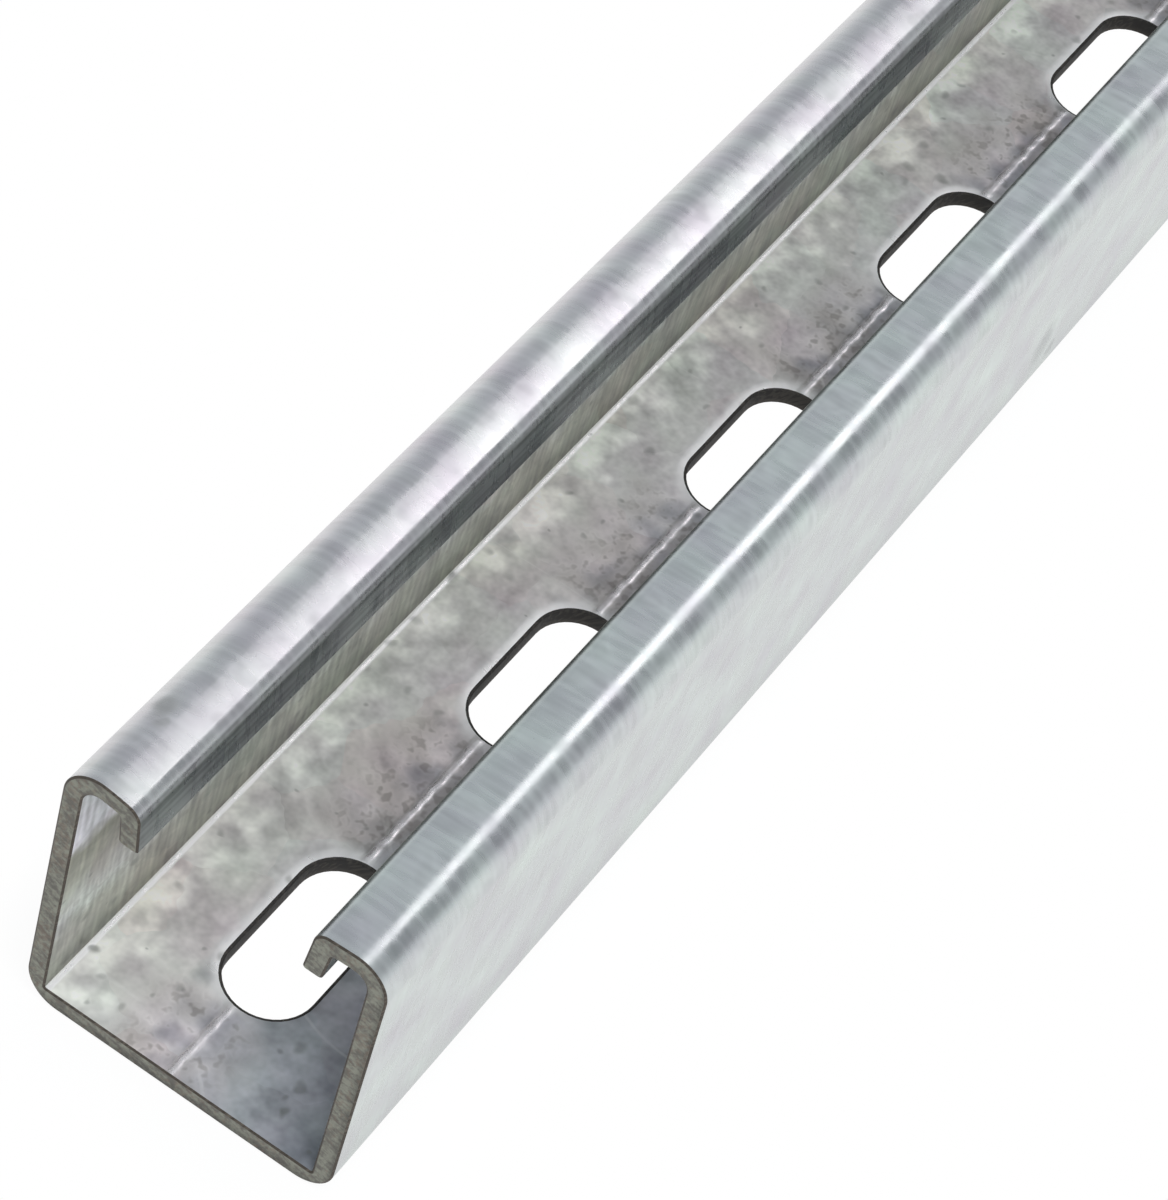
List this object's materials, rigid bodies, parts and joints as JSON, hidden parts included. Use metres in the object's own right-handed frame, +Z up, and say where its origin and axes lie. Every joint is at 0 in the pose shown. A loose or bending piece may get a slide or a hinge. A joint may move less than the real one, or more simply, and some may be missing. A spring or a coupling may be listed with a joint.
{
  "type": "strut channel",
  "caption": "Slotted steel strut channel: square roll-formed section, open on top between two turned-in lips, with a row of long slots along its base.",
  "frame": {"origin": "middle of the underside of the slotted base, half way along the length", "axes": "+X along the length, away from the cut end nearest in the picture; +Y across, towards the left wall in the picture; +Z up, through the open side"},
  "size_m": [1, 0.0412, 0.0413],
  "materials": {
    "galvanised_steel": "hot-dip galvanised, mottled spangle, bare steel at the saw cuts"
  },
  "bodies": {
    "root": {"strut_channel": "galvanised_steel"}
  },
  "joints": []
}
